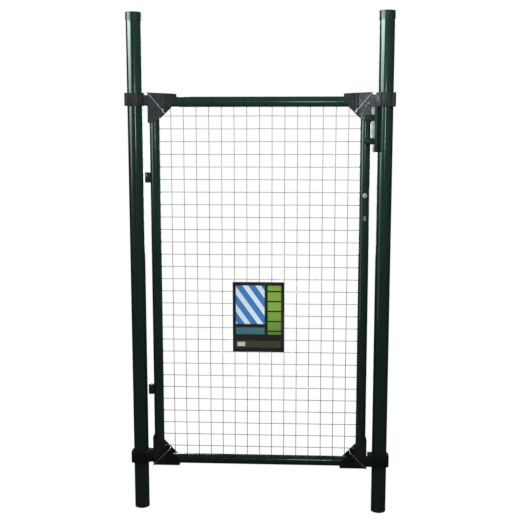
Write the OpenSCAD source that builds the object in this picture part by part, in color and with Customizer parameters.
// Garden gate set: a welded tube leaf with wire mesh between two round posts.
// The origin is the centre of the left post's foot, +X runs to the right post,
// +Y away from the viewer and +Z up. The leaf swings about the left post's axis.

/* [Posts] */
// Outer diameter of both posts
post_d = 60; // [50:1:76]
// Wall of the post tube
post_wall = 1.5; // [1:0.1:4]
// Length of the post tube
post_len = 2010; // [1850:10:2600]
// Height of the post cap's skirt
cap_h = 30; // [15:1:60]
// Wall of the post cap
cap_wall = 1.5; // [1:0.1:4]
// Thickness of the post cap's top
cap_top = 4; // [2:0.5:10]

/* [Leaf] */
// Overall width of the leaf's tube frame
leaf_w = 870; // [600:10:1200]
// Overall height of the leaf's tube frame
leaf_h = 1500; // [1000:10:1600]
// Height of the leaf's lower edge above the posts' feet
leaf_lift = 190; // [60:5:200]
// Gap between a post and the leaf's tube frame
side_gap = 27; // [24:0.5:40]
// Outer diameter of the frame tube
tube_d = 40; // [34:1:48]
// Wall of the frame tube
tube_wall = 1.5; // [1:0.1:4]

/* [Mesh] */
// Distance between neighbouring wires
mesh_pitch = 50; // [40:1:75]
// Diameter of the wire
wire_d = 2.5; // [2:0.1:4]

/* [Corner covers] */
// Wall of the moulded corner cover
cover_wall = 3; // [2:0.25:5]
// Length of the cover along the rail
cover_rail_leg = 105; // [95:1:150]
// Length of a top cover along the stile
cover_stile_leg = 102; // [95:1:150]
// How much longer a bottom cover is along the stile
cover_longer = 16; // [0:1:30]
// Width of a cover's end on the rail, where its slanting edge starts
cover_rail_end = 21; // [10:1:36]
// Width of a top cover's end on the stile
cover_top_end = 21; // [10:1:36]
// Width of a bottom cover's end on the stile
cover_bottom_end = 12; // [8:1:36]
// How far the cover stands out past the stile
cover_side = 4; // [3.5:0.25:6]
// How far a top cover stands up past the top rail at the leaf's corner
cover_rise_top = 16; // [12:0.5:20]
// How much lower a top cover's upper edge is at its rail end
cover_fall = 5; // [0:0.5:8]
// How far a bottom cover reaches down past the bottom rail
cover_rise_bottom = 4; // [3.5:0.5:12]
// Width of the tie strap round each cover
tie_w = 2.5; // [2:0.25:6]
// Thickness of the tie strap
tie_t = 1.2; // [0.8:0.1:2]

/* [Post clips] */
// Height of an upper clip's block round the post
clip_h = 50; // [44:1:80]
// Height of an upper clip's arm
arm_h = 42; // [25:1:43]
// Height of a lower clip's block and arm
low_clip_h = 46; // [30:1:60]
// Least wall of the clip round the post
clip_wall = 7.5; // [6:0.5:12]
// Radius of the front corners of the clip's block
clip_r = 16; // [4:1:20]
// Width and depth of the upright groove in the clip's front
groove = 4; // [2:0.5:5]
// Distance of the groove to the right of the post's axis
groove_at = 19; // [12:0.5:22]
// Height of the upper clips' top over the leaf's upper edge
clip_rise = 14; // [5:1:20]
// Height of the lower clips' foot over the leaf's lower edge
clip_foot = 8; // [5:1:20]

/* [Hinge lugs] */
// Height of a hinge lug
lug_h = 42; // [25:1:60]
// Bore of a hinge lug
lug_bore = 12.5; // [8:0.5:13]
// Height of a lug's centre above or below the leaf's centre
lug_z = 434; // [250:2:440]
// Thickness of the web between lug and stile
lug_web = 12; // [6:1:16]

/* [Lock] */
// Height of the lock's spindle above the leaf's centre
spindle_z = 365; // [150:5:380]
// Distance from the spindle down to the keyhole
lock_centres = 90; // [70:1:110]
// Diameter of the spindle hub
hub_d = 18; // [14:1:22]
// Side of the square spindle sockets
spindle_side = 8; // [6:1:9]
// Width of the keyhole
key_w = 9; // [6:0.5:10]
// Height of the keyhole
key_h = 18; // [14:1:24]
// Height of the lock case
case_h = 150; // [145:5:200]
// Thickness of the lock case across the leaf
case_t = 20; // [14:1:24]
// Height of the latch's mouth in the lock case
latch_h = 18; // [12:1:24]
// Height of the bolt's mouth in the lock case
bolt_h = 28; // [18:1:34]

/* [Strike] */
// Height of the strike's flange on the right post
strike_h = 174; // [150:2:240]
// Thickness of the strike's flange beside the post
flange_t = 14.5; // [5:0.5:18]
// Thickness of the galvanised strike plate
plate_t = 4; // [2.5:0.5:6]
// Height of each stop tab
stop_h = 22; // [14:1:30]
// Distance between the stop tabs' centres
stop_centres = 90; // [70:1:100]
// Thickness of each stop tab
stop_t = 5; // [3:0.5:8]
// Overlap of the stop tabs in front of the stile
stop_lap = 24; // [6:1:26]
// Height of the narrow tail under the strike plate
tail_h = 32; // [20:1:50]

/* [Info card] */
// Width of the card on the mesh
card_w = 208; // [100:1:300]
// Height of the card on the mesh
card_h = 287; // [100:1:420]
// Thickness of the card
card_t = 1.2; // [0.8:0.1:3]
// Depth of the card's centre below the leaf's centre
card_drop = 129; // [0:1:300]
// Distance of the card's centre to the left of the leaf's centre
card_left = 4; // [0:1:100]

/* [Hidden] */
// Clearance of the clip and the moving leaf's pieces round the left post
turn_fit = 0.3;
// Clearance of a fitted or moulded piece on its seat
seat_fit = 0.2;
// Clearance between the swinging leaf and what stays on the right post
swing_gap = 5;
// Free length that a cut reaches past the solid it goes through
cut = 1;
// Sides of a mesh wire
wire_sides = 6;
// Length of the spindle hub and of the keyhole bush past each side of the stile
hub_proud = 2.5;
bush_proud = 1;
// Wall of the keyhole bush
key_bush = 1;
// Thickness of the wall in the middle of the hub, between its front and its rear square socket
hub_web = 2;
// Thickness of the wall in the middle of the keyhole, between its front and its rear half
key_web = 2;
// Least gap between a post cap and the upper clip under it
cap_gap = 5;
// Gap between the upper right clip and the strike under it
strike_drop = 5;
// How far the strike's flange reaches past the post's nearest line, where it is cut to the post
flange_bite = 1;
// Gap between the strike plate and the line of the leaf's edge
plate_gap = 1;
// Depth of the bolts' mouths in the lock case
mouth_depth = 2.5;
// Shares of a size: of the wire's diameter that crossing wires sink into each other, of the tube's
// radius that the lock case reaches past the stile's axis, of the case's thickness that its mouths are
// wide, of the strike plate's width that its tail and its groove are wide, and of the tail's width that
// its corner is round
weld_sink = 0.24;
case_back = 0.55;
mouth_share = 0.6;
tail_share = 0.55;
slit_share = 0.25;
tail_round = 0.45;
// Share of the cap's wall that its upper edge is rounded by
cap_round = 0.8;
$fn = 64;

post_r = post_d / 2;
tube_r = tube_d / 2;
post_spacing = leaf_w + 2 * side_gap + post_d;
leaf_x = post_spacing / 2;
leaf_z = leaf_lift + leaf_h / 2;
leaf_top = leaf_lift + leaf_h;
leaf_edge = leaf_x + leaf_w / 2;
left_stile_x = leaf_x - leaf_w / 2 + tube_r;
right_stile_x = leaf_x + leaf_w / 2 - tube_r;
inner_w = leaf_w - 2 * tube_d;
inner_h = leaf_h - 2 * tube_d;

// Wires across half the leaf, with one upright in the middle and no level wire there
side_wires = floor((inner_w / 2 - wire_d) / mesh_pitch);
half_levels = floor((inner_h / 2 - wire_d + mesh_pitch / 2) / mesh_pitch);
// Distance of the uprights and the level wires from the mesh's middle plane
wire_set = (1 - weld_sink) / 2 * wire_d;
mesh_front = -wire_set - wire_d / 2;

cover_half = tube_r + seat_fit + cover_wall;
// Slanting edges of the top and the bottom covers, from rail to stile, in a leaf corner's own frame
rail_end = [cover_rail_leg, cover_rail_end];
top_slant = [rail_end, [cover_top_end, cover_stile_leg]];
bottom_slant = [rail_end, [cover_bottom_end, cover_stile_leg + cover_longer]];
clip_half = post_r + turn_fit + clip_wall;
arm_half = tube_r + seat_fit;
lug_d = side_gap - swing_gap;
spindle_at = leaf_z + spindle_z;
key_at = spindle_at - lock_centres;

// Length, width and thickness of a tie strap's head
tie_head = [3.5 * tie_w, 2 * tie_w, 2.5 * tie_t];

// Height of the lower edge of the upper and the lower post clips; on short posts the upper ones
// sit under the caps
top_clip_z = min(leaf_top + clip_rise, post_len - cap_h - cap_gap) - clip_h;
bottom_clip_z = leaf_lift + clip_foot;

// The strike hangs under the upper right clip, in front of the leaf's front face
right_post_x = post_spacing;
leaf_front = -cover_half - seat_fit - tie_t;
strike_back = leaf_front - swing_gap;
strike_top = top_clip_z - strike_drop;
strike_foot = strike_top - strike_h;
stop_mid = strike_top - strike_h / 2;
flange_x = right_post_x - post_r - flange_t + flange_bite;

green = [0.11, 0.2, 0.17];
black = [0.19, 0.2, 0.21];
zinc = [0.72, 0.72, 0.7];
chrome = [0.8, 0.8, 0.82];
nylon = [0.7, 0.7, 0.72];

// A tube along Z
module tube(d, wall, h) {
  difference() {
    cylinder(d = d, h = h);
    translate([0, 0, -cut]) cylinder(d = d - 2 * wall, h = h + 2 * cut);
  }
}

// An outline in the XZ plane, given its depth along Y
module slab(points, depth) {
  rotate([90, 0, 0]) linear_extrude(height = depth, center = true) polygon(points);
}

// A leaf corner's own frame: +X runs inwards along the rail and +Z inwards along the stile
module at_corner(side, level) {
  translate([leaf_x + side * leaf_w / 2, 0, leaf_z + level * leaf_h / 2])
    mirror([side > 0 ? 1 : 0, 0, 0])
      mirror([0, 0, level > 0 ? 1 : 0])
        children();
}

// The half of a corner beyond the mitre: the rail's half or the stile's half
module mitre_half(of_rail) {
  reach = tube_d + cut;
  slab([[-cut, -cut], [reach, reach], of_rail ? [reach, -cut] : [-cut, reach]], tube_d + 2 * cut);
}

// Posts and their caps
module post(x) {
  translate([x, 0, 0]) tube(post_d, post_wall, post_len);
}

module post_cap(x) {
  outer = post_r + seat_fit + cap_wall;
  edge = min(cap_wall, cap_top) * cap_round;
  translate([x, 0, post_len - cap_h])
    difference() {
      rotate_extrude() {
        square([outer, cap_h + cap_top - edge]);
        square([outer - edge, cap_h + cap_top]);
        translate([outer - edge, cap_h + cap_top - edge]) intersection() {
          circle(r = edge);
          square(edge);
        }
      }
      translate([0, 0, -cut]) cylinder(r = post_r + seat_fit, h = cap_h + cut);
    }
}

module left_post() { color(green) post(0); }
module right_post() { color(green) post(right_post_x); }
module left_post_cap() { color(green) post_cap(0); }
module right_post_cap() { color(green) post_cap(right_post_x); }

// Mitred tubes of the leaf
module stile(x, side) {
  difference() {
    translate([x, 0, leaf_lift]) tube(tube_d, tube_wall, leaf_h);
    at_corner(side, -1) mitre_half(true);
    at_corner(side, 1) mitre_half(true);
  }
}

module rail(level) {
  difference() {
    translate([leaf_x - leaf_w / 2, 0, leaf_z + level * (leaf_h / 2 - tube_r)])
      rotate([0, 90, 0]) tube(tube_d, tube_wall, leaf_w);
    at_corner(-1, level) mitre_half(false);
    at_corner(1, level) mitre_half(false);
  }
}

module left_stile() { color(green) stile(left_stile_x, -1); }

module right_stile() {
  color(green) difference() {
    stile(right_stile_x, 1);
    hub_shape(hub_d + 2 * seat_fit, tube_d + 2 * cut);
    key_shape(2 * (key_bush + seat_fit), tube_d + 2 * cut);
    case_shape(seat_fit, right_stile_x + tube_r + cut);
  }
}

module top_rail() { color(green) rail(1); }
module bottom_rail() { color(green) rail(-1); }

// Half of the welded mesh, from the leaf's centre to one rail
module mesh_half(level) {
  union() {
    for (i = [-side_wires : side_wires])
      translate([leaf_x + i * mesh_pitch, -wire_set, leaf_z])
        mirror([0, 0, level < 0 ? 1 : 0])
          cylinder(d = wire_d, h = inner_h / 2 - seat_fit / 2, $fn = wire_sides);
    for (j = [1 : half_levels])
      translate([leaf_x, wire_set, leaf_z + level * (j - 0.5) * mesh_pitch])
        rotate([0, 90, 0])
          cylinder(d = wire_d, h = inner_w - seat_fit, center = true, $fn = wire_sides);
  }
}

module mesh_upper() { color(green) mesh_half(1); }
module mesh_lower() { color(green) mesh_half(-1); }

// An upright barrel with a web, welded to the left stile
module hinge_lug(z) {
  lug_x = left_stile_x - tube_r - lug_d / 2;
  color(green) translate([0, 0, z - lug_h / 2])
    difference() {
      union() {
        translate([lug_x, 0, 0]) cylinder(d = lug_d, h = lug_h);
        translate([lug_x, -lug_web / 2, 0]) cube([left_stile_x - lug_x, lug_web, lug_h]);
      }
      translate([lug_x, 0, -cut]) cylinder(d = lug_bore, h = lug_h + 2 * cut);
      translate([left_stile_x, 0, -cut]) cylinder(d = tube_d, h = lug_h + 2 * cut);
    }
}

module upper_hinge_lug() { hinge_lug(leaf_z + lug_z); }
module lower_hinge_lug() { hinge_lug(leaf_z - lug_z); }

// Lock inside the right stile
module hub_shape(d, length) {
  translate([right_stile_x, 0, spindle_at]) rotate([90, 0, 0]) cylinder(d = d, h = length, center = true);
}

module key_shape(grow, length) {
  width = key_w + grow;
  straight = key_h - key_w;
  translate([right_stile_x, 0, key_at]) rotate([90, 0, 0]) {
    cube([width, straight, length], center = true);
    for (end = [-1, 1])
      translate([0, end * straight / 2, 0]) cylinder(d = width, h = length, center = true);
  }
}

module case_shape(grow, front_x) {
  back_x = right_stile_x - case_back * tube_r;
  bottom = (spindle_at + key_at - case_h) / 2;
  translate([back_x - grow, -case_t / 2 - grow, bottom - grow])
    cube([front_x - back_x + grow, case_t + 2 * grow, case_h + 2 * grow]);
}

module lock_case() {
  face_x = right_stile_x + tube_r - cut;
  mouth_w = mouth_share * case_t;
  color(zinc) difference() {
    case_shape(0, face_x);
    hub_shape(hub_d + 2 * seat_fit, tube_d);
    key_shape(2 * (key_bush + seat_fit), tube_d);
    for (mouth = [[spindle_at, latch_h], [key_at, bolt_h]])
      translate([face_x - mouth_depth, -mouth_w / 2, mouth[0] - mouth[1] / 2])
        cube([mouth_depth + cut, mouth_w, mouth[1]]);
  }
}

module spindle_hub() {
  hub_len = tube_d + 2 * hub_proud;
  color(chrome) difference() {
    hub_shape(hub_d, hub_len);
    for (end = [-1, 1])
      translate([right_stile_x, end * (hub_len + hub_web) / 2, spindle_at])
        cube([spindle_side, hub_len, spindle_side], center = true);
  }
}

module keyhole_bush() {
  bush_len = tube_d + 2 * bush_proud;
  color(zinc) difference() {
    key_shape(2 * key_bush, bush_len);
    for (end = [-1, 1])
      translate([0, end * (bush_len + key_web) / 2, 0]) key_shape(0, bush_len);
  }
}

// Moulded cover over a mitred corner: two cheeks, a side wall and an end wall
module corner_cover(side, level, rise, fall, slant) {
  roof = max(seat_fit, rise - fall - cover_wall);
  stile_leg = slant[1][1];
  far = 2 * (cover_rail_leg + stile_leg);
  outline = [
    [-cover_side, -rise],
    [cover_rail_leg, fall - rise],
    slant[0],
    slant[1],
    [-cover_side, stile_leg]
  ];
  hollow = [[-seat_fit, -roof], [far, -roof], [far, far], [-seat_fit, far]];
  color(black) at_corner(side, level) difference() {
    slab(outline, 2 * cover_half);
    slab(hollow, 2 * (tube_r + seat_fit));
  }
}

module top_cover(side) {
  corner_cover(side, 1, cover_rise_top, cover_fall, top_slant);
}

module bottom_cover(side) {
  corner_cover(side, -1, cover_rise_bottom, 0, bottom_slant);
}

module top_left_cover() { top_cover(-1); }
module top_right_cover() { top_cover(1); }
module bottom_left_cover() { bottom_cover(-1); }
module bottom_right_cover() { bottom_cover(1); }

// Point of a slanting edge that is as far from the rail's outer line as from the stile's
function even_point(a, b) = a + (b - a) * (a[0] - a[1]) / (a[0] - a[1] - b[0] + b[1]);

// Tie strap looped round a cover, from its outer corner to the middle of its slanting edge
module corner_tie(side, level, rise, slant) {
  run = even_point(slant[0], slant[1]) + [cover_side, rise];
  length = norm(run) + 2 * seat_fit;
  half = cover_half + seat_fit;
  color(nylon) at_corner(side, level)
    translate([-cover_side, 0, -rise]) rotate([0, -atan2(run[1], run[0]), 0])
      translate([-seat_fit, 0, 0]) {
        difference() {
          translate([-tie_t, -half - tie_t, -tie_w / 2])
            cube([length + 2 * tie_t, 2 * (half + tie_t), tie_w]);
          translate([0, -half, -tie_w]) cube([length, 2 * half, 2 * tie_w]);
        }
        translate([length - tie_head[0], -half - tie_head[2], -tie_head[1] / 2])
          cube([tie_head[0], tie_head[2], tie_head[1]]);
      }
}

module top_tie(side) { corner_tie(side, 1, cover_rise_top, top_slant); }
module bottom_tie(side) { corner_tie(side, -1, cover_rise_bottom, bottom_slant); }
module top_left_tie() { top_tie(-1); }
module top_right_tie() { top_tie(1); }
module bottom_left_tie() { bottom_tie(-1); }
module bottom_right_tie() { bottom_tie(1); }

// Plan of a clip's block: a flat front with round corners and a round back
module clip_plan() {
  straight = clip_half - clip_r;
  circle(r = clip_half);
  translate([-clip_half, -straight]) square([2 * clip_half, straight]);
  translate([-straight, -clip_half]) square([2 * straight, clip_half]);
  for (x = [-1, 1])
    translate([x * straight, -straight]) circle(r = clip_r);
}

// Clip round a post with an arm towards the leaf along +X, its foot at z = 0
module post_clip(block_h, low_h, arm_to, groove_x) {
  difference() {
    union() {
      linear_extrude(height = block_h) clip_plan();
      translate([0, -arm_half, 0]) cube([arm_to, 2 * arm_half, low_h]);
    }
    translate([0, 0, -cut]) cylinder(r = post_r + turn_fit, h = block_h + 2 * cut);
    translate([groove_x, -clip_half - cut, -cut]) cube([groove, groove + cut, block_h + 2 * cut]);
  }
}

// A left clip turns with the leaf and its arm meets the cover's side
module left_clip(z, block_h, low_h) {
  reach = left_stile_x - tube_r - cover_side;
  color(black) translate([0, 0, z]) post_clip(block_h, low_h, reach, groove_at);
}

// A right clip stays on its post: a tongue in front of the closed leaf bridges the swing gap
module right_clip(z, block_h, low_h) {
  swing_r = norm([leaf_edge + cover_side, leaf_front]);
  reach = right_post_x - swing_r - swing_gap;
  lap = right_post_x - leaf_edge + cover_side;
  tongue_t = clip_wall / 2;
  root = clip_half / 2;
  color(black) translate([right_post_x, 0, z]) mirror([1, 0, 0]) {
    post_clip(block_h, low_h, reach, -groove_at - groove);
    translate([root, strike_back - tongue_t, 0]) cube([lap - root, tongue_t, low_h]);
  }
}

module upper_left_clip() { left_clip(top_clip_z, clip_h, arm_h); }
module lower_left_clip() { left_clip(bottom_clip_z, low_clip_h, low_clip_h); }
module upper_right_clip() { right_clip(top_clip_z, clip_h, arm_h); }
module lower_right_clip() { right_clip(bottom_clip_z, low_clip_h, low_clip_h); }

// Strike on the right post: a welded flange, a galvanised plate and two stop tabs
module strike_flange() {
  depth = plate_t + stop_t - strike_back;
  foot_y = -post_r / 2;
  color(green) difference() {
    union() {
      translate([flange_x, -depth, strike_foot]) cube([flange_t, depth, strike_h]);
      translate([flange_x, foot_y, strike_foot]) cube([post_r, -foot_y, strike_h]);
    }
    translate([right_post_x, 0, strike_foot - cut]) cylinder(d = post_d, h = strike_h + 2 * cut);
  }
}

module strike_plate() {
  width = flange_x - leaf_edge - plate_gap;
  tail_w = tail_share * width;
  round_r = tail_round * tail_w;
  slit = slit_share * width;
  color(zinc) translate([flange_x, strike_back - plate_t, strike_foot]) difference() {
    union() {
      translate([-width, 0, tail_h]) cube([width, plate_t, strike_h - tail_h]);
      translate([-tail_w, 0, round_r]) cube([tail_w, plate_t, tail_h]);
      translate([round_r - tail_w, 0, 0]) cube([tail_w - round_r, plate_t, tail_h]);
      translate([round_r - tail_w, plate_t, round_r]) rotate([90, 0, 0]) cylinder(r = round_r, h = plate_t);
    }
    translate([-tail_w / 2, -cut, tail_h]) cube([slit, plate_t / 2 + cut, strike_h]);
  }
}

module stop_tab(z) {
  tip = leaf_edge - stop_lap;
  front = strike_back - plate_t - stop_t;
  color(green) translate([tip, front, z - stop_h / 2]) cube([flange_x - tip, stop_t, stop_h]);
}

module upper_stop() { stop_tab(stop_mid + stop_centres / 2); }
module lower_stop() { stop_tab(stop_mid - stop_centres / 2); }

// Card in front of the mesh
module info_card() {
  back = mesh_front - seat_fit / 2;
  color("white") translate([leaf_x - card_left - card_w / 2, back - card_t, leaf_z - card_drop - card_h / 2])
    cube([card_w, card_t, card_h]);
}

left_post();
right_post();
left_post_cap();
right_post_cap();
left_stile();
right_stile();
top_rail();
bottom_rail();
mesh_upper();
mesh_lower();
upper_hinge_lug();
lower_hinge_lug();
lock_case();
spindle_hub();
keyhole_bush();
top_left_cover();
top_right_cover();
bottom_left_cover();
bottom_right_cover();
top_left_tie();
top_right_tie();
bottom_left_tie();
bottom_right_tie();
upper_left_clip();
lower_left_clip();
upper_right_clip();
lower_right_clip();
strike_flange();
strike_plate();
upper_stop();
lower_stop();
info_card();
